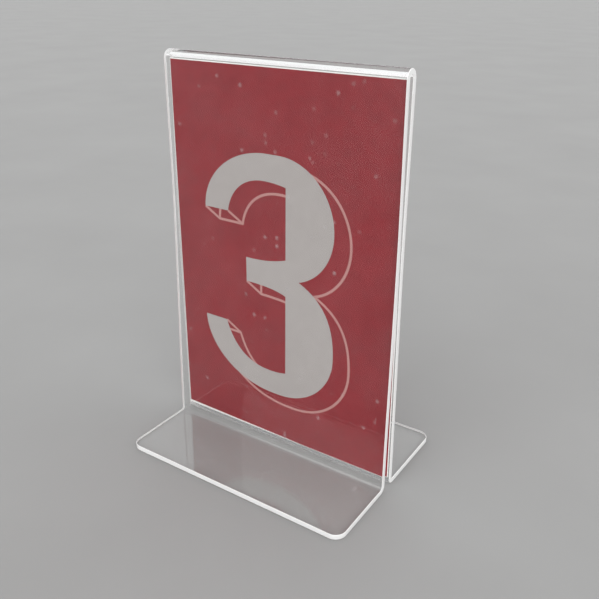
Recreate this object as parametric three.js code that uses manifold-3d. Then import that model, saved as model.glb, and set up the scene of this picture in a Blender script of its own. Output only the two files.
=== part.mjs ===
// Clear acrylic table number holder with its printed number card.
//
// Millimetres, +Z up. The front of the holder looks along -Y, and its width runs along X. The origin
// is on the table, under the middle of the holder's bounding box.
//
// The holder is one acrylic sheet bent along four lines: a front foot, a bend up into the front panel,
// a tight fold over the top, the rear panel, and a bend out into the rear foot. The two panels form a
// narrow pocket that is open at both sides and at the bottom, and the card slides in and out along X.

import * as THREE from "three";
import { mergeVertices } from "three/addons/utils/BufferGeometryUtils.js";
import Module from "manifold-3d";

// Acrylic sheet
const SHEET_WIDTH = 100;
const SHEET_THICKNESS = 2;
const HOLDER_HEIGHT = 157;
const FRONT_REACH = 35.4; // from the middle of the pocket to the front foot's edge
const REAR_REACH = 39.9; // from the middle of the pocket to the rear foot's edge
const FOOT_BEND_INSIDE_RADIUS = 1;
const FOOT_CORNER_RADIUS = 4.5;

// Pocket: clear distance between the panels, which are pinched together about two thirds of the way up
const POCKET_CLEAR_BOTTOM = 3.8;
const POCKET_CLEAR_WAIST = 1.2;
const POCKET_CLEAR_TOP = 2.4;
const WAIST_HEIGHT = 100;

// Number card
const CARD_WIDTH = 98;
const CARD_HEIGHT = 149.5;
const CARD_THICKNESS = 0.4;
const CARD_BOTTOM = 4.3; // height of its lower edge above the table
const CARD_SIDE_SHIFT = 0.6; // it sits a little nearer the right-hand side
const CARD_LEAN = THREE.MathUtils.degToRad(0.65); // its lower edge stands back, towards the rear panel

// Smoothness of the faceted curves
const BEND_STEPS = 8;
const FOLD_STEPS = 12;
const PANEL_STEPS_BELOW_WAIST = 10;
const PANEL_STEPS_ABOVE_WAIST = 8;
const CORNER_STEPS = 8;

const HALF_THICKNESS = SHEET_THICKNESS / 2;
const POCKET_Y = (FRONT_REACH - REAR_REACH) / 2;
const BEND_RADIUS = FOOT_BEND_INSIDE_RADIUS + HALF_THICKNESS; // on the sheet's middle surface
const FOLD_RADIUS = POCKET_CLEAR_TOP / 2 + HALF_THICKNESS;
const PANEL_BOTTOM = HALF_THICKNESS + BEND_RADIUS;
const PANEL_TOP = HOLDER_HEIGHT - HALF_THICKNESS - FOLD_RADIUS;

const acrylic = new THREE.MeshStandardMaterial({
  color: 0xf2f6f7,
  roughness: 0.04,
  metalness: 0,
  transparent: true,
  opacity: 0.3,
});
const printedCard = new THREE.MeshStandardMaterial({
  color: 0x9c3038,
  roughness: 0.55,
  metalness: 0,
});

const easeInOut = (t) => t * t * (3 - 2 * t);

// Half the distance between the panels' middle surfaces at height z.
function pocketHalfWidth(z) {
  const fromWaist =
    z < WAIST_HEIGHT
      ? (WAIST_HEIGHT - z) / (WAIST_HEIGHT - PANEL_BOTTOM)
      : (z - WAIST_HEIGHT) / (PANEL_TOP - WAIST_HEIGHT);
  const clearAtEnd = z < WAIST_HEIGHT ? POCKET_CLEAR_BOTTOM : POCKET_CLEAR_TOP;
  const clear = POCKET_CLEAR_WAIST + (clearAtEnd - POCKET_CLEAR_WAIST) * easeInOut(fromWaist);
  return clear / 2 + HALF_THICKNESS;
}

// The sheet's middle line in side view, as {y, z, angle}: angle is the way the line runs, measured from
// +Y towards +Z. It starts at the front foot's edge. y counts from the middle of the pocket.
function middleLineOfFrontHalf(reach) {
  const quarterTurn = Math.PI / 2;
  const bottomHalfWidth = pocketHalfWidth(PANEL_BOTTOM);
  const line = [{ y: -reach, z: HALF_THICKNESS, angle: 0 }];
  for (let i = 0; i <= BEND_STEPS; i++) {
    const angle = (quarterTurn * i) / BEND_STEPS;
    line.push({
      y: -bottomHalfWidth - BEND_RADIUS * (1 - Math.sin(angle)),
      z: HALF_THICKNESS + BEND_RADIUS * (1 - Math.cos(angle)),
      angle,
    });
  }
  const addPanel = (from, to, steps) => {
    for (let i = 1; i <= steps; i++) {
      const z = from + ((to - from) * i) / steps;
      line.push({ y: -pocketHalfWidth(z), z, angle: quarterTurn });
    }
  };
  addPanel(PANEL_BOTTOM, WAIST_HEIGHT, PANEL_STEPS_BELOW_WAIST);
  addPanel(WAIST_HEIGHT, PANEL_TOP, PANEL_STEPS_ABOVE_WAIST);
  for (let i = 1; i <= FOLD_STEPS / 2; i++) {
    const turned = (Math.PI * i) / FOLD_STEPS;
    line.push({
      y: -FOLD_RADIUS * Math.cos(turned),
      z: PANEL_TOP + FOLD_RADIUS * Math.sin(turned),
      angle: quarterTurn - turned,
    });
  }
  return line;
}

function middleLine() {
  const front = middleLineOfFrontHalf(FRONT_REACH);
  const rear = middleLineOfFrontHalf(REAR_REACH)
    .slice(0, -1) // the top of the fold belongs to both halves
    .reverse()
    .map(({ y, z, angle }) => ({ y: -y, z, angle: -angle }));
  return [...front, ...rear];
}

// The outline of the sheet in side view: its middle line, offset by half a thickness to either side.
function sheetOutline() {
  const line = middleLine();
  const offset = (side) => ({ y, z, angle }) =>
    new THREE.Vector2(
      POCKET_Y + y - side * HALF_THICKNESS * Math.sin(angle),
      z + side * HALF_THICKNESS * Math.cos(angle),
    );
  return new THREE.Shape([...line.map(offset(1)), ...line.map(offset(-1)).reverse()]);
}

// The outline of the whole sheet seen from above, with the feet's rounded corners.
function planOutline() {
  const right = SHEET_WIDTH / 2;
  const front = POCKET_Y - FRONT_REACH;
  const back = POCKET_Y + REAR_REACH;
  const r = FOOT_CORNER_RADIUS;
  const shape = new THREE.Shape();
  shape.moveTo(-right + r, front);
  shape.lineTo(right - r, front);
  shape.absarc(right - r, front + r, r, -Math.PI / 2, 0);
  shape.lineTo(right, back - r);
  shape.absarc(right - r, back - r, r, 0, Math.PI / 2);
  shape.lineTo(-right + r, back);
  shape.absarc(-right + r, back - r, r, Math.PI / 2, Math.PI);
  shape.lineTo(-right, front + r);
  shape.absarc(-right + r, front + r, r, Math.PI, 1.5 * Math.PI);
  return shape;
}

async function loadManifold() {
  const wasm = await Module();
  wasm.setup();
  return wasm;
}

function toSolid(wasm, geometry) {
  const bare = geometry.clone();
  bare.deleteAttribute("normal");
  bare.deleteAttribute("uv");
  const merged = mergeVertices(bare, 1e-4);
  return new wasm.Manifold(
    new wasm.Mesh({
      numProp: 3,
      vertProperties: new Float32Array(merged.attributes.position.array),
      triVerts: new Uint32Array(merged.index.array),
    }),
  );
}

function toGeometry(solid) {
  const mesh = solid.getMesh();
  const geometry = new THREE.BufferGeometry();
  geometry.setAttribute("position", new THREE.BufferAttribute(mesh.vertProperties, 3));
  geometry.setIndex(new THREE.BufferAttribute(mesh.triVerts, 1));
  geometry.computeVertexNormals();
  return geometry;
}

// The bent strip is cut to its plan outline, which rounds the corners of the two feet.
function acrylicHolderGeometry(wasm) {
  const spare = 1; // the strip and the cutter each run past the other
  const strip = new THREE.ExtrudeGeometry(sheetOutline(), {
    depth: SHEET_WIDTH + 2 * spare,
    bevelEnabled: false,
  });
  strip.translate(0, 0, -SHEET_WIDTH / 2 - spare);
  strip.applyMatrix4(
    new THREE.Matrix4().makeBasis(
      new THREE.Vector3(0, 1, 0),
      new THREE.Vector3(0, 0, 1),
      new THREE.Vector3(1, 0, 0),
    ),
  );
  const cutter = new THREE.ExtrudeGeometry(planOutline(), {
    depth: HOLDER_HEIGHT + 2 * spare,
    bevelEnabled: false,
    curveSegments: CORNER_STEPS,
  });
  cutter.translate(0, 0, -spare);
  return toGeometry(toSolid(wasm, strip).intersect(toSolid(wasm, cutter)));
}

function makeAcrylicHolder(wasm) {
  const holder = new THREE.Mesh(acrylicHolderGeometry(wasm), acrylic);
  holder.name = "acrylic_holder";
  return holder;
}

// The card pivots on the pocket's waist, so that its lean brings its lower edge back.
function makeNumberCard() {
  const geometry = new THREE.BoxGeometry(CARD_WIDTH, CARD_THICKNESS, CARD_HEIGHT);
  geometry.translate(0, 0, CARD_BOTTOM + CARD_HEIGHT / 2 - WAIST_HEIGHT);
  const card = new THREE.Mesh(geometry, printedCard);
  card.name = "number_card";
  card.position.set(CARD_SIDE_SHIFT, POCKET_Y, WAIST_HEIGHT);
  card.rotation.x = CARD_LEAN;
  return card;
}

const wasm = await loadManifold();
const group = new THREE.Group();
group.add(makeAcrylicHolder(wasm));
group.add(makeNumberCard());

export default group;
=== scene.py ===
import math

import bmesh
import bpy
from mathutils import Matrix, Vector


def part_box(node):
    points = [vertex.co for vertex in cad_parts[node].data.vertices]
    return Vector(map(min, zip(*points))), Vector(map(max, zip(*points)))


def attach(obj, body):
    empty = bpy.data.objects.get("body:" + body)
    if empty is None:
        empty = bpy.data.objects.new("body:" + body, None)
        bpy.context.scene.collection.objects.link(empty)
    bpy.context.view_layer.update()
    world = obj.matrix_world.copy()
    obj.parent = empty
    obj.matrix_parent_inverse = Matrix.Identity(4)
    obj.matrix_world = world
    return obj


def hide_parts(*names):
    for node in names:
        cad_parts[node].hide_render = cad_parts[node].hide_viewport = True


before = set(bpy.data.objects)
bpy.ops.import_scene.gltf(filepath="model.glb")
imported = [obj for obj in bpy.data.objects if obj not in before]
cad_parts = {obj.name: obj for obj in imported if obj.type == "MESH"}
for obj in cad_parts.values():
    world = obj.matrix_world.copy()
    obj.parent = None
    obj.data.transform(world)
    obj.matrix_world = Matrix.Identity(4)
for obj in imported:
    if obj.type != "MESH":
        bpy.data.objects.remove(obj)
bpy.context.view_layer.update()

# Table number holder: one bent sheet of clear acrylic with a printed number card in its pocket.
# Metres, +Z up. The front of the holder looks along -Y.

MM = 0.001

# Acrylic sheet. Its width, height and depth come from the frame.
SHEET_THICKNESS = 2 * MM
FRONT_SHARE_OF_DEPTH = 0.4701  # where the middle of the pocket is, from the front edge
FOOT_BEND_INSIDE_RADIUS = 1.0 * MM
FOOT_CORNER_RADIUS = 4.5 * MM
POCKET_CLEAR_BOTTOM = 3.8 * MM
POCKET_CLEAR_WAIST = 1.2 * MM
POCKET_CLEAR_TOP = 2.4 * MM
WAIST_HEIGHT = 100 * MM
EDGE_BEVEL = 0.22 * MM
BEND_STEPS, PANEL_STEPS, FOLD_STEPS = 28, 60, 40
CORNER_STEPS, FLAT_STEPS, BEVEL_STEPS = 10, 8, 3

# Card and its printing
CARD_THICKNESS = 0.4 * MM
CARD_BEVEL = 0.06 * MM
CARD_LEAN = math.radians(0.65)  # its lower edge stands nearer to the rear panel
RED_INK = 0.015 * MM
OUTLINE_INK = 0.03 * MM
NUMERAL_INK = 0.045 * MM
INK_SINKS = 0.008 * MM  # each layer starts a little inside the one below
PRINT_TURN = math.radians(0.5)  # the print stands slightly askew on the card
PRINT_MARGIN = 0.25 * MM
HIGHLIGHT_WEDGE_RISE = 0.9 * MM  # bare white card at the lower left corner, a wedge this tall: a painted highlight for the bright line along that edge
HIGHLIGHT_WEDGE_ENDS_AT = 0.2  # where that wedge runs out, from the card's middle (0) to its right side (1)
NUMERAL_FROM_CARD_CENTRE = Vector((2.9 * MM, -54.75 * MM))
OUTLINE_OFFSET = Vector((7.0, -4.0))  # millimetres, to the right and down
OUTLINE_WIDTH = 1.0  # millimetres
UPPER_END_HEIGHT = 74.1  # of the numeral, in millimetres from its foot
LOWER_END_HEIGHT = 26.9
UPPER_END_OUTER = (-37.9, UPPER_END_HEIGHT)  # corners of the numeral that a short stroke starts at
UPPER_END_INNER = (-26.8, UPPER_END_HEIGHT)
WAIST_TIP = (-18.4, 46.8)
LOWER_END_INNER = (-28.9, LOWER_END_HEIGHT)
SHARPEST_MITRE = 0.35  # cosine of half the turn at which a mitred corner stops growing

# Look of the clear sheet
ACRYLIC_IOR = 1.49
HAZE_STRENGTH = 0.012
SPECK_STRENGTH = 0.16
SPECK_CELLS = 200  # places for a speck of dust, per metre
SPECK_SHARE = 0.19  # of those places that hold one
SPECK_SHARE_BLEND = 0.02
SPECK_RADIUS = 1.1 * MM
SPECK_CORE = 0.35  # share of the radius that is at full strength
FAINTEST_SPECK = 0.35
TRAPPED_AFTER = 2  # reflections inside the sheet
TRAPPED_LIGHT_KEPT = 0.3

# Floor
FLOOR_HALF_SIZE = 40.0
FLOOR_TOP = -0.1 * MM  # just under the feet

# Camera
AZIMUTH = math.radians(33.29)
ELEVATION = math.radians(21.63)
ROLL = math.radians(0.48)
DISTANCE = 273.8 * MM
LENS = 44.47
SENSOR = 36
SHIFT_Y = -0.06
AIM_RIGHT = 9.2 * MM
AIM_HEIGHT = 83.6 * MM

holder_low, holder_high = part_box("acrylic_holder")
card_low, card_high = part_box("number_card")
width = holder_high.x - holder_low.x
depth = holder_high.y - holder_low.y
height = holder_high.z
pocket_y = holder_low.y + FRONT_SHARE_OF_DEPTH * depth
card_centre_x = (card_low.x + card_high.x) / 2
card_width = card_high.x - card_low.x


# ---------------------------------------------------------------- acrylic sheet

half_thickness = SHEET_THICKNESS / 2
bend_radius = FOOT_BEND_INSIDE_RADIUS + half_thickness
fold_radius = POCKET_CLEAR_TOP / 2 + half_thickness
panel_bottom = half_thickness + bend_radius
panel_top = height - half_thickness - fold_radius


def ease(t):
    """A smooth step from 0 to 1, level at both ends."""
    return t * t * (3 - 2 * t)


def pocket_half_width(z):
    """Half the distance between the panels' middle surfaces at height z, and its slope."""
    end, clear = panel_top, POCKET_CLEAR_TOP
    if z < WAIST_HEIGHT:
        end, clear = panel_bottom, POCKET_CLEAR_BOTTOM
    t = (z - WAIST_HEIGHT) / (end - WAIST_HEIGHT)
    grows = clear - POCKET_CLEAR_WAIST
    half = (POCKET_CLEAR_WAIST + grows * ease(t)) / 2 + half_thickness
    slope = grows * 6 * t * (1 - t) / 2 / (end - WAIST_HEIGHT)
    return half, slope


def middle_line():
    """Stations (y, z, angle) of the sheet's middle, from the front foot's bend to the top of the fold."""
    stations = []
    bottom_half, _ = pocket_half_width(panel_bottom)
    for i in range(BEND_STEPS):
        a = math.pi / 2 * i / BEND_STEPS
        y = -bottom_half - bend_radius * (1 - math.sin(a))
        stations.append((y, half_thickness + bend_radius * (1 - math.cos(a)), a))
    for i in range(PANEL_STEPS):
        z = panel_bottom + (panel_top - panel_bottom) * i / PANEL_STEPS
        half, slope = pocket_half_width(z)
        stations.append((-half, z, math.pi / 2 + math.atan(slope)))
    for i in range(FOLD_STEPS + 1):
        a = math.pi / 2 * i / FOLD_STEPS
        y = -fold_radius * math.cos(a)
        stations.append((y, panel_top + fold_radius * math.sin(a), math.pi / 2 - a))
    return stations


def foot_samples(reach):
    """The rounded corners and the flat part of a foot, as functions of the inset from its outline."""
    r = FOOT_CORNER_RADIUS
    samples = []
    for i in range(CORNER_STEPS + 1):
        turn = math.pi / 2 * i / CORNER_STEPS

        def corner(inset, turn=turn):
            y = -reach + r - (r - inset) * math.cos(turn)
            return y, half_thickness, 0.0, width / 2 - r + (r - inset) * math.sin(turn)

        samples.append(corner)
    bottom_half, _ = pocket_half_width(panel_bottom)
    start, end = -reach + r, -bottom_half - bend_radius
    for i in range(1, FLAT_STEPS):
        y = start + (end - start) * i / FLAT_STEPS
        samples.append(lambda inset, y=y: (y, half_thickness, 0.0, width / 2 - inset))
    return samples


def half_sheet(reach):
    """The sheet from the tip of a foot, this far from the pocket's middle, to the top of the fold."""
    samples = foot_samples(reach)
    for y, z, angle in middle_line():
        samples.append(lambda inset, y=y, z=z, a=angle: (y, z, a, width / 2 - inset))
    return samples


def mirrored(sample):
    """The same sample on the rear half of the sheet."""

    def rear(inset):
        y, z, angle, half = sample(inset)
        return -y, z, -angle, half

    return rear


def edge_profile():
    """(inset, offset from the middle surface) down the cut edge, with its two tiny rounded corners."""
    points = []
    for i in range(BEVEL_STEPS + 1):
        a = math.pi / 2 * i / BEVEL_STEPS
        inset = EDGE_BEVEL * (1 - math.sin(a))
        points.append((inset, half_thickness - EDGE_BEVEL * (1 - math.cos(a))))
    return points + [(inset, -offset) for inset, offset in reversed(points)]


def add_rings(bm, samples, profile):
    """A ring of vertices at each sample, as its left and right edges, and each vertex's sheet normal."""
    rings = []
    normals = {}
    for sample in samples:
        left, right = [], []
        for inset, offset in profile:
            y, z, angle, half = sample(inset)
            up = Vector((0, -math.sin(angle), math.cos(angle)))
            centre = Vector((0, pocket_y + y, z)) + up * offset
            for side, row in ((-1, left), (1, right)):
                vert = bm.verts.new(centre + Vector((side * half, 0, 0)))
                row.append(vert)
                normals[vert] = up
        rings.append((left, right))
    return rings, normals


def add_faces(bm, rings):
    """Closes the mesh between the rings. Material 0 is the sheet's faces, and material 1 its cut edge."""
    rows = range(len(rings[0][0]) - 1)
    faces_of_sheet = []
    for (left, right), (next_left, next_right) in zip(rings, rings[1:]):
        faces_of_sheet.append(bm.faces.new((left[0], right[0], next_right[0], next_left[0])))
        faces_of_sheet.append(bm.faces.new((left[-1], next_left[-1], next_right[-1], right[-1])))
        for j in rows:
            bm.faces.new((right[j], right[j + 1], next_right[j + 1], next_right[j]))
            bm.faces.new((left[j], next_left[j], next_left[j + 1], left[j + 1]))
    for left, right in (rings[0], tuple(reversed(rings[-1]))):
        for j in rows:
            bm.faces.new((left[j], left[j + 1], right[j + 1], right[j]))
    for face in bm.faces:
        face.material_index = 1
        face.smooth = True
    for face in faces_of_sheet:
        face.material_index = 0


def bent_sheet():
    """The whole sheet as one closed mesh, from the tip of the front foot to the tip of the rear one."""
    rear_half = [mirrored(s) for s in half_sheet(holder_high.y - pocket_y)]
    samples = half_sheet(pocket_y - holder_low.y) + rear_half[-2::-1]
    bm = bmesh.new()
    rings, normals = add_rings(bm, samples, edge_profile())
    add_faces(bm, rings)
    bmesh.ops.recalc_face_normals(bm, faces=bm.faces[:])
    bm.verts.index_update()
    up_at = {vert.index: up for vert, up in normals.items()}
    mesh = bpy.data.meshes.new("clear_sheet")
    bm.to_mesh(mesh)
    bm.free()
    set_exact_normals(mesh, up_at)
    return mesh


def set_exact_normals(mesh, up_at):
    """The faces of the sheet take the bend's own normals, and its cut edge stays crisp."""
    loop_normals = []
    for polygon in mesh.polygons:
        for loop in polygon.loop_indices:
            if polygon.material_index == 0:
                up = up_at[mesh.loops[loop].vertex_index]
                loop_normals.append(up if up.dot(polygon.normal) > 0 else -up)
            else:
                loop_normals.append(polygon.normal.copy())
    mesh.normals_split_custom_set(loop_normals)


# ---------------------------------------------------------------- card and its printing

waist = Matrix.Translation((card_centre_x, pocket_y, WAIST_HEIGHT))
waist_to_card = waist @ Matrix.Rotation(CARD_LEAN, 4, "X")
card_rise = card_high.z - card_low.z
card_flat_height = (card_rise - CARD_THICKNESS * math.sin(CARD_LEAN)) / math.cos(CARD_LEAN)
card_flat_centre = (card_low.z + card_high.z) / 2 - WAIST_HEIGHT


def on_card(x, z, out, side):
    """A point x and z from the card's centre, and out from its front (side 1) or its back (side -1)."""
    from_middle = -side * (CARD_THICKNESS / 2 + out)
    return waist_to_card @ Vector((side * x, from_middle, card_flat_centre + z))


def extruded(name, outline, low, high, side):
    """A closed flat solid on the card, from depth low to depth high, with this outline in metres."""
    bm = bmesh.new()
    bottom = [bm.verts.new(on_card(p.x, p.y, low, side)) for p in outline]
    top = [bm.verts.new(on_card(p.x, p.y, high, side)) for p in outline]
    bm.faces.new(top)
    bm.faces.new(list(reversed(bottom)))
    for i in range(len(outline)):
        j = (i + 1) % len(outline)
        bm.faces.new((bottom[i], bottom[j], top[j], top[i]))
    return finished(bm, name)


def ribbon(name, inner, outer, low, high, side):
    """A closed solid that follows a closed line, between its inner and outer outlines."""
    bm = bmesh.new()
    loops = [
        [bm.verts.new(on_card(p.x, p.y, out, side)) for p in line]
        for line, out in ((inner, high), (outer, high), (outer, low), (inner, low))
    ]
    for a, b in zip(loops, loops[1:] + loops[:1]):
        for i in range(len(inner)):
            j = (i + 1) % len(inner)
            bm.faces.new((a[i], a[j], b[j], b[i]))
    return finished(bm, name)


def finished(bm, name):
    """The mesh as an object in the scene, with its faces turned outwards."""
    bmesh.ops.recalc_face_normals(bm, faces=bm.faces[:])
    bmesh.ops.triangulate(bm, faces=[f for f in bm.faces if len(f.verts) > 4])
    mesh = bpy.data.meshes.new(name)
    bm.to_mesh(mesh)
    bm.free()
    piece = bpy.data.objects.new(name, mesh)
    bpy.context.scene.collection.objects.link(piece)
    return piece


def arc(centre, radii, start, end, steps=24):
    """Points on an ellipse from one angle to another, in degrees."""
    angles = [math.radians(start + (end - start) * i / steps) for i in range(steps + 1)]
    return [
        Vector((centre[0] + radii[0] * math.cos(a), centre[1] + radii[1] * math.sin(a)))
        for a in angles
    ]


def bezier(a, b, c, d, steps=14):
    """Points on a cubic curve from a to d, which b and c pull on."""
    points = []
    for i in range(steps + 1):
        t = i / steps
        weights = ((1 - t) ** 3, 3 * t * (1 - t) ** 2, 3 * t * t * (1 - t), t**3)
        points.append(sum((Vector(p) * w for p, w in zip((a, b, c, d), weights)), Vector((0, 0))))
    return points


def angle_at(height_above, radius):
    """The angle in degrees at which a circle of this radius reaches a height above its centre."""
    return math.degrees(math.asin(height_above / radius))


def numeral_three():
    """A heavy figure 3, in millimetres from the foot of its stem's left side, anticlockwise."""
    notch_x = 5.95  # where the two bowls meet on the right
    upper_radii = (20.75, 22.5)
    notch_angle = -math.degrees(math.acos(notch_x / upper_radii[0]))
    pieces = [
        # outside: the lower bowl, the notch, the upper bowl and its end
        arc((-6, 28), (33.6, 28), 180 + angle_at(28 - LOWER_END_HEIGHT, 28), 270),
        arc((-3, 24), (24.6, 24), -90, 0),
        bezier((21.6, 24), (21.7, 39), (16.5, 47), (notch_x, 51.9)),
        arc((0, 73.5), upper_radii, notch_angle, 0),
        arc((-3, 73.5), (23.75, 25.4), 0, 90),
        arc((-8.2, UPPER_END_HEIGHT), (29.7, 98.9 - UPPER_END_HEIGHT), 90, 180),
        # inside of the upper bowl, up to the stem
        bezier(UPPER_END_INNER, (-25.2, 83.4), (-18.5, 88.6), (-9.5, 88.6)),
        bezier((-9.5, 88.6), (-6, 88.6), (-2.7, 88.2), (0, 87.6)),
        # the arm at the waist, to its tip and back
        bezier((0, 59.5), (-4, 58.1), (-9, 56.8), (-18.4, 56.8)),
        bezier(WAIST_TIP, (-11, 46.8), (-4.8, 46.5), (0, 44.6)),
        # inside of the lower bowl, to its end
        bezier((0, 10.9), (-2, 10.3), (-4.5, 10), (-7.5, 10)),
        bezier((-7.5, 10), (-23, 10), (-27.3, 22.2), LOWER_END_INNER),
    ]
    outline = []
    for point in (p for piece in pieces for p in piece):
        if not outline or (point - outline[-1]).length > 1e-3:
            outline.append(point)
    return outline


def moved_sideways(outline, by):
    """The outline moved outwards by a distance, with mitred corners. It runs anticlockwise."""
    moved = []
    for i, point in enumerate(outline):
        before = (point - outline[i - 1]).normalized()
        after = (outline[(i + 1) % len(outline)] - point).normalized()
        across = (Vector((before.y, -before.x)) + Vector((after.y, -after.x))).normalized()
        stretch = max(across.dot(Vector((after.y, -after.x))), SHARPEST_MITRE)
        moved.append(point + across * by / stretch)
    return moved


def placed(points):
    """From the numeral's own millimetres to metres from the card's centre, with the print's turn."""
    turn = Matrix.Rotation(-PRINT_TURN, 2)
    return [turn @ (p * MM + NUMERAL_FROM_CARD_CENTRE) for p in points]


def bar(a, b, thickness):
    """The outline of a straight stroke from a to b."""
    along = (b - a).normalized()
    across = Vector((-along.y, along.x)) * thickness / 2
    return [a - across, b - across, b + across, a + across]


def card_stock():
    """The blank card, as thick as the CAD's, with soft cut edges."""
    half_w, half_h = card_width / 2, card_flat_height / 2
    corners = [(-half_w, -half_h), (half_w, -half_h), (half_w, half_h), (-half_w, half_h)]
    stock = extruded("card_stock", [Vector(c) for c in corners], -CARD_THICKNESS, 0, 1)
    bevel = stock.modifiers.new("soft_cut", "BEVEL")
    bevel.width = CARD_BEVEL
    bevel.segments = 2
    return stock


def red_print(side, name):
    """The red ground. Its lower left edge runs askew and leaves a thin wedge of bare white card, a
    painted highlight along that edge.
    """
    half_w, half_h = card_width / 2 - PRINT_MARGIN, card_flat_height / 2 - PRINT_MARGIN
    # the red stops short of the lower left corner, and the bare white wedge left there is a painted
    # highlight
    outline = [
        Vector((-half_w, -half_h + HIGHLIGHT_WEDGE_RISE)),
        Vector((half_w * HIGHLIGHT_WEDGE_ENDS_AT, -half_h)),
        Vector((half_w, -half_h)),
        Vector((half_w, half_h)),
        Vector((-half_w, half_h)),
    ]
    return extruded(name, outline, -INK_SINKS, RED_INK, side)


def numeral(side, name):
    """The cream figure 3 on the red ground."""
    low = RED_INK - INK_SINKS
    return extruded(name, placed(numeral_three()), low, NUMERAL_INK, side)


def numeral_outline(side, name):
    """The thin second outline of the numeral, set off to the right and down."""
    line = [p + OUTLINE_OFFSET for p in numeral_three()]
    inner = placed(moved_sideways(line, -OUTLINE_WIDTH / 2))
    outer = placed(moved_sideways(line, OUTLINE_WIDTH / 2))
    return ribbon(name, inner, outer, RED_INK - INK_SINKS, OUTLINE_INK, side)


def corner_strokes(side, name):
    """Short strokes that join the numeral's corners to those of the second outline."""
    strokes = []
    for corner in (UPPER_END_OUTER, UPPER_END_INNER, WAIST_TIP, LOWER_END_INNER):
        start = Vector(corner)
        end = start + OUTLINE_OFFSET
        strokes.append(placed(bar(start, end, OUTLINE_WIDTH)))
    low, high = RED_INK - INK_SINKS, OUTLINE_INK - INK_SINKS
    parts = [extruded(f"{name}_{i}", s, low, high, side) for i, s in enumerate(strokes)]
    return joined(parts, name)


def joined(parts, name):
    """Several parts as one piece."""
    bm = bmesh.new()
    for part in parts:
        bm.from_mesh(part.data)
        bpy.data.objects.remove(part)
    return finished(bm, name)


# ---------------------------------------------------------------- materials


class Nodes:
    """A material's node tree, with short calls for the nodes used here."""

    def __init__(self, name):
        self.material = bpy.data.materials.new(name)
        self.material.use_nodes = True
        self.tree = self.material.node_tree
        self.tree.nodes.clear()
        self.output = self.tree.nodes.new("ShaderNodeOutputMaterial")
        self.place = self.tree.nodes.new("ShaderNodeTexCoord").outputs["Object"]

    def node(self, kind, **settings):
        node = self.tree.nodes.new(kind)
        for key, value in settings.items():
            setattr(node, key, value)
        return node

    def put(self, value, socket):
        """A socket gets another node's output, or a colour or number of its own."""
        if isinstance(value, bpy.types.NodeSocket):
            self.tree.links.new(value, socket)
        elif isinstance(value, tuple):
            socket.default_value = (*value, 1)
        else:
            socket.default_value = value

    def principled(self, colour, roughness, ior=1.5):
        node = self.node("ShaderNodeBsdfPrincipled")
        self.put(colour, node.inputs["Base Color"])
        self.put(roughness, node.inputs["Roughness"])
        self.put(ior, node.inputs["IOR"])
        return node

    def coloured(self, kind, colour):
        """A Transparent or Translucent shader of this colour."""
        node = self.node(kind)
        self.put(colour, node.inputs["Color"])
        return node

    def noise(self, scale, detail=4, roughness=0.55, distortion=0.0):
        node = self.node("ShaderNodeTexNoise")
        self.put(self.place, node.inputs["Vector"])
        self.put(scale, node.inputs["Scale"])
        self.put(detail, node.inputs["Detail"])
        self.put(roughness, node.inputs["Roughness"])
        self.put(distortion, node.inputs["Distortion"])
        return node.outputs["Fac"]

    def remap(self, value, low, high, to_low, to_high):
        node = self.node("ShaderNodeMapRange")
        self.put(value, node.inputs["Value"])
        self.put(low, node.inputs["From Min"])
        self.put(high, node.inputs["From Max"])
        self.put(to_low, node.inputs["To Min"])
        self.put(to_high, node.inputs["To Max"])
        return node.outputs["Result"]

    def maths(self, operation, a, b):
        node = self.node("ShaderNodeMath", operation=operation)
        self.put(a, node.inputs[0])
        self.put(b, node.inputs[1])
        return node.outputs[0]

    def mix_colour(self, factor, a, b):
        node = self.node("ShaderNodeMix", data_type="RGBA")
        self.put(factor, node.inputs["Factor"])
        self.put(a, node.inputs[6])
        self.put(b, node.inputs[7])
        return node.outputs[2]

    def mix_shader(self, factor, a, b):
        node = self.node("ShaderNodeMixShader")
        self.put(factor, node.inputs[0])
        self.put(a.outputs[0], node.inputs[1])
        self.put(b.outputs[0], node.inputs[2])
        return node

    def bump(self, shader, height_socket, strength, distance):
        node = self.node("ShaderNodeBump")
        self.put(height_socket, node.inputs["Height"])
        self.put(strength, node.inputs["Strength"])
        self.put(distance, node.inputs["Distance"])
        self.put(node.outputs["Normal"], shader.inputs["Normal"])

    def finish(self, shader):
        self.put(shader.outputs[0], self.output.inputs["Surface"])
        return self.material


def grey(level):
    return (level, level, level)


def through_for_lamps(nodes, shader, passes, grazing):
    """Glass that lets light straight through to what is behind it: passes of it head on, grazing edge on.

    Light that is trapped between the sheet's faces gets out, dimmed, so that no bend goes black.
    """
    facing = nodes.node("ShaderNodeLayerWeight")
    nodes.put(0.5, facing.inputs["Blend"])
    edge_on = nodes.remap(facing.outputs["Facing"], 0.5, 1, 0, 1)
    tint = nodes.mix_colour(edge_on, grey(passes), grey(grazing))
    clear = nodes.coloured("ShaderNodeBsdfTransparent", tint)
    path = nodes.node("ShaderNodeLightPath")
    trapped = nodes.maths("GREATER_THAN", path.outputs["Glossy Depth"], TRAPPED_AFTER)
    escape = nodes.coloured("ShaderNodeBsdfTransparent", grey(TRAPPED_LIGHT_KEPT))
    shader = nodes.mix_shader(trapped, shader, escape)
    for ray in ("Is Shadow Ray", "Is Diffuse Ray"):
        shader = nodes.mix_shader(path.outputs[ray], shader, clear)
    return shader


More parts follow.
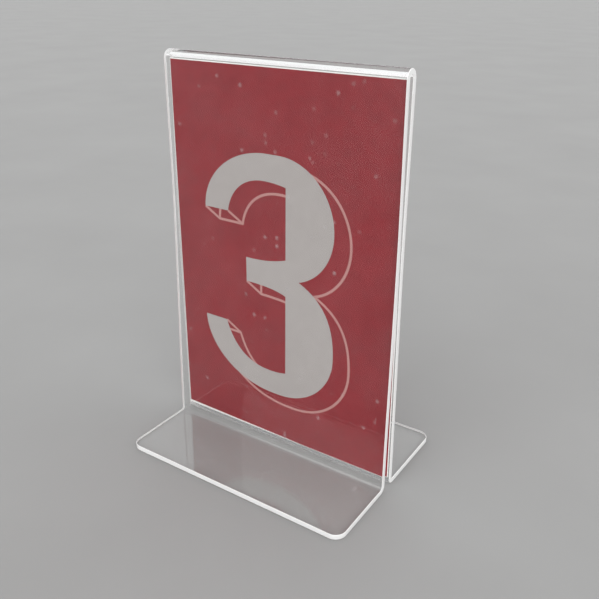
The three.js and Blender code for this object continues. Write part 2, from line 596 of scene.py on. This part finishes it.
def specks(nodes):
    """Sparse soft dots, up to 1 in the middle of a speck and 0 away from it."""
    cells = nodes.node("ShaderNodeTexVoronoi")
    nodes.put(SPECK_CELLS, cells.inputs["Scale"])
    nodes.put(nodes.place, cells.inputs["Vector"])
    split = nodes.node("ShaderNodeSeparateColor")
    nodes.put(cells.outputs["Color"], split.inputs[0])
    reach = SPECK_RADIUS * SPECK_CELLS
    dot = nodes.remap(cells.outputs["Distance"], reach * SPECK_CORE, reach, 1, 0)
    held = nodes.remap(split.outputs[0], SPECK_SHARE, SPECK_SHARE + SPECK_SHARE_BLEND, 1, 0)
    strong = nodes.remap(split.outputs[1], 0, 1, FAINTEST_SPECK, 1)
    return nodes.maths("MULTIPLY", nodes.maths("MULTIPLY", dot, held), strong)


def clear_acrylic():
    """Clear glossy sheet with faint smears, and a little dust lying on it."""
    nodes = Nodes("clear_acrylic")
    glass = nodes.principled((0.99, 0.99, 0.985), 0, ACRYLIC_IOR)
    nodes.put(1, glass.inputs["Transmission Weight"])
    dust = nodes.principled((0.8, 0.79, 0.78), 0.7)
    smears = nodes.remap(nodes.noise(45, 5), 0.4, 0.75, 0, 1)
    haze = nodes.maths("MULTIPLY", smears, HAZE_STRENGTH)
    specked = nodes.maths("MULTIPLY", specks(nodes), SPECK_STRENGTH)
    dusty = nodes.mix_shader(nodes.maths("ADD", haze, specked), glass, dust)
    return nodes.finish(through_for_lamps(nodes, dusty, passes=0.95, grazing=0.75))


def cut_edge():
    """The sawn and polished rim of the sheet, which scatters the light that runs inside it."""
    nodes = Nodes("acrylic_cut_edge")
    pale = (0.97, 0.97, 0.96)
    grain = nodes.noise(500, 3)
    shader = nodes.principled(pale, nodes.remap(grain, 0.3, 0.7, 0.16, 0.24), ACRYLIC_IOR)
    nodes.put(0.1, shader.inputs["Transmission Weight"])
    nodes.bump(shader, grain, strength=0.02, distance=0.04 * MM)
    glow = nodes.coloured("ShaderNodeBsdfTranslucent", pale)
    rim = nodes.mix_shader(0.2, shader, glow)
    return nodes.finish(through_for_lamps(nodes, rim, passes=0.35, grazing=0.2))


def ink(name, deep, pale, roughness):
    """Print on card: satin and slightly uneven in colour, between deep and pale."""
    nodes = Nodes(name)
    cloud = nodes.remap(nodes.noise(28, 5), 0.3, 0.7, 0, 1)
    fine = nodes.remap(nodes.noise(260, 1), 0.35, 0.65, 0, 1)
    broad_part = nodes.maths("MULTIPLY", cloud, 0.6)
    fine_part = nodes.maths("MULTIPLY", fine, 0.4)
    colour = nodes.mix_colour(nodes.maths("ADD", broad_part, fine_part), deep, pale)
    satin = nodes.remap(fine, 0, 1, roughness - 0.05, roughness + 0.07)
    shader = nodes.principled(colour, satin)
    nodes.put(0.12, shader.inputs["Specular IOR Level"])
    return nodes.finish(shader)


def white_card():
    """Uncoated white stock with fine fibres."""
    nodes = Nodes("white_card")
    fibres = nodes.noise(900, 6, 0.6, 0.6)
    colour = nodes.mix_colour(fibres, (0.82, 0.81, 0.78), (0.9, 0.89, 0.87))
    shader = nodes.principled(colour, 0.6)
    nodes.bump(shader, fibres, strength=0.2, distance=0.05 * MM)
    return nodes.finish(shader)


def pale_floor():
    """A plain matt studio floor, very slightly mottled."""
    nodes = Nodes("pale_floor")
    mottle = nodes.remap(nodes.noise(9, 6), 0.3, 0.7, 0, 1)
    colour = nodes.mix_colour(mottle, (0.275, 0.272, 0.268), (0.295, 0.292, 0.288))
    return nodes.finish(nodes.principled(colour, 0.7))


# ---------------------------------------------------------------- the object


def add_holder():
    """The clear sheet, in place of the CAD's holder."""
    holder = bpy.data.objects.new("clear_sheet", bent_sheet())
    bpy.context.scene.collection.objects.link(holder)
    holder.data.materials.append(clear_acrylic())
    holder.data.materials.append(cut_edge())
    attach(holder, "holder")
    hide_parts("acrylic_holder")


def add_card():
    """The card and its print on both sides, in place of the CAD's card."""
    red = ink("red_ink", (0.218, 0.007, 0.0135), (0.276, 0.0125, 0.0205), 0.42)
    cream = ink("cream_ink", (0.405, 0.371, 0.358), (0.435, 0.401, 0.388), 0.45)
    line = ink("line_ink", (0.48, 0.225, 0.21), (0.51, 0.25, 0.235), 0.45)
    pieces = [(card_stock(), white_card())]
    for side, word in ((1, "front"), (-1, "back")):
        pieces.append((red_print(side, f"red_print_{word}"), red))
        pieces.append((numeral(side, f"numeral_{word}"), cream))
        pieces.append((numeral_outline(side, f"numeral_outline_{word}"), line))
        pieces.append((corner_strokes(side, f"corner_strokes_{word}"), line))
    for piece, material in pieces:
        piece.data.materials.append(material)
        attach(piece, "card")
    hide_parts("number_card")


# ---------------------------------------------------------------- studio


def add_floor():
    """A wide plain floor."""
    size = FLOOR_HALF_SIZE
    corners = [(-size, -size), (size, -size), (size, size), (-size, size)]
    mesh = bpy.data.meshes.new("floor")
    mesh.from_pydata([(x, y, FLOOR_TOP) for x, y in corners], [], [(0, 1, 2, 3)])
    floor = bpy.data.objects.new("floor", mesh)
    bpy.context.scene.collection.objects.link(floor)
    floor.data.materials.append(pale_floor())


def add_sun(name, azimuth, elevation, softness, strength):
    """A soft light from far off, so that the floor is evenly lit. In degrees, azimuth 0 is in front."""
    light = bpy.data.lights.new(name, "SUN")
    light.energy = strength
    light.angle = math.radians(softness)
    lamp = bpy.data.objects.new(name, light)
    bpy.context.scene.collection.objects.link(lamp)
    lamp.rotation_euler = (math.radians(90 - elevation), 0, math.radians(azimuth))


def add_lights():
    """Three wide soft suns under an even pale sky."""
    add_sun("key", azimuth=15, elevation=30, softness=90, strength=2.4)
    add_sun("fill", azimuth=75, elevation=30, softness=90, strength=1.3)
    add_sun("back", azimuth=195, elevation=40, softness=120, strength=1.3)
    world = bpy.data.worlds.new("studio")
    world.use_nodes = True
    background = world.node_tree.nodes["Background"]
    background.inputs["Color"].default_value = (0.96, 0.98, 1.0, 1)
    background.inputs["Strength"].default_value = 0.5
    bpy.context.scene.world = world


def add_camera():
    """A camera at the photo's viewing angle. back points from the holder to it."""
    data = bpy.data.cameras.new("camera")
    data.sensor_width = SENSOR
    data.lens = LENS
    data.shift_y = SHIFT_Y
    data.clip_start = 0.01
    camera = bpy.data.objects.new("camera", data)
    bpy.context.scene.collection.objects.link(camera)
    level = math.cos(ELEVATION)
    back = Vector((math.sin(AZIMUTH) * level, -math.cos(AZIMUTH) * level, math.sin(ELEVATION)))
    camera.location = Vector((AIM_RIGHT, pocket_y, AIM_HEIGHT)) + back * DISTANCE
    camera.rotation_mode = "QUATERNION"
    roll = Matrix.Rotation(ROLL, 3, back).to_quaternion()
    camera.rotation_quaternion = roll @ (-back).to_track_quat("-Z", "Y")
    bpy.context.scene.camera = camera


add_camera()
add_holder()
add_card()
add_floor()
add_lights()
bpy.context.scene.view_settings.view_transform = "Standard"
